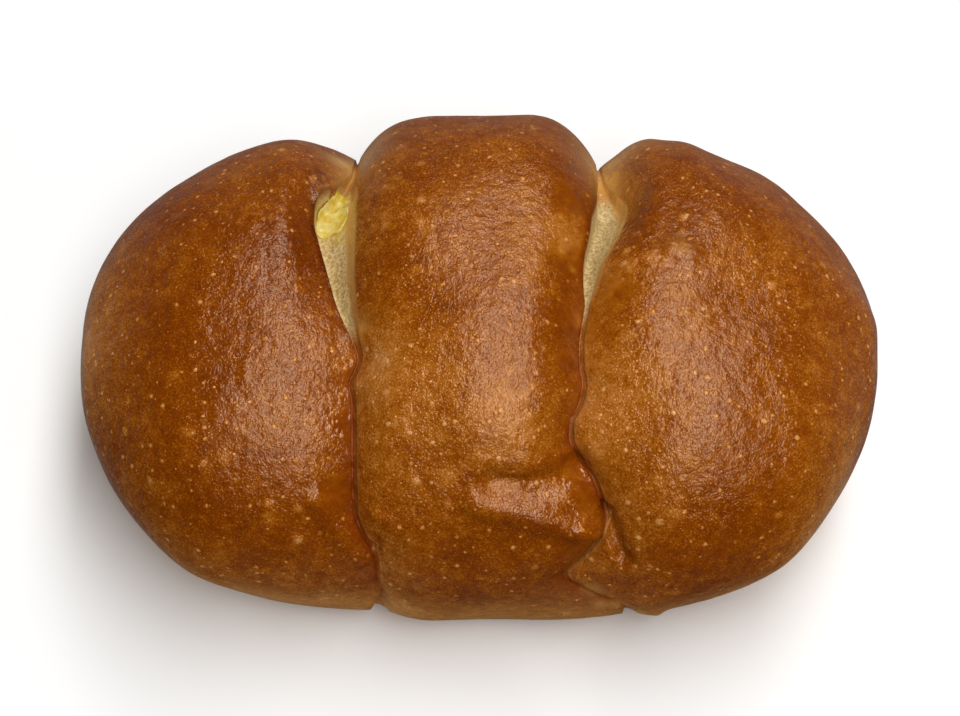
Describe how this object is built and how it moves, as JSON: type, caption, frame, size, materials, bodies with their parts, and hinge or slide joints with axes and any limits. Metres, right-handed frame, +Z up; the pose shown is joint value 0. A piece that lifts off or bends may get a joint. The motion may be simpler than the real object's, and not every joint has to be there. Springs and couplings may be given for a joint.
{
  "type": "custard cream bun",
  "caption": "Plump egg-glazed custard bun of lobes divided by slits and creases, with a flat base; pale crumb and custard show in the slits.",
  "frame": {"origin": "middle of the flat base, under the middle of the bun's box", "axes": "+X along the bun, +Y to the back, where the slits open, +Z up"},
  "size_m": [0.127, 0.0852, 0.0476],
  "materials": {
    "crust": "baked bread crust with an egg glaze, satin, finely blistered",
    "custard": "moist custard, glossy"
  },
  "bodies": {
    "root": {"bun": "crust", "custard": "custard"}
  },
  "joints": []
}
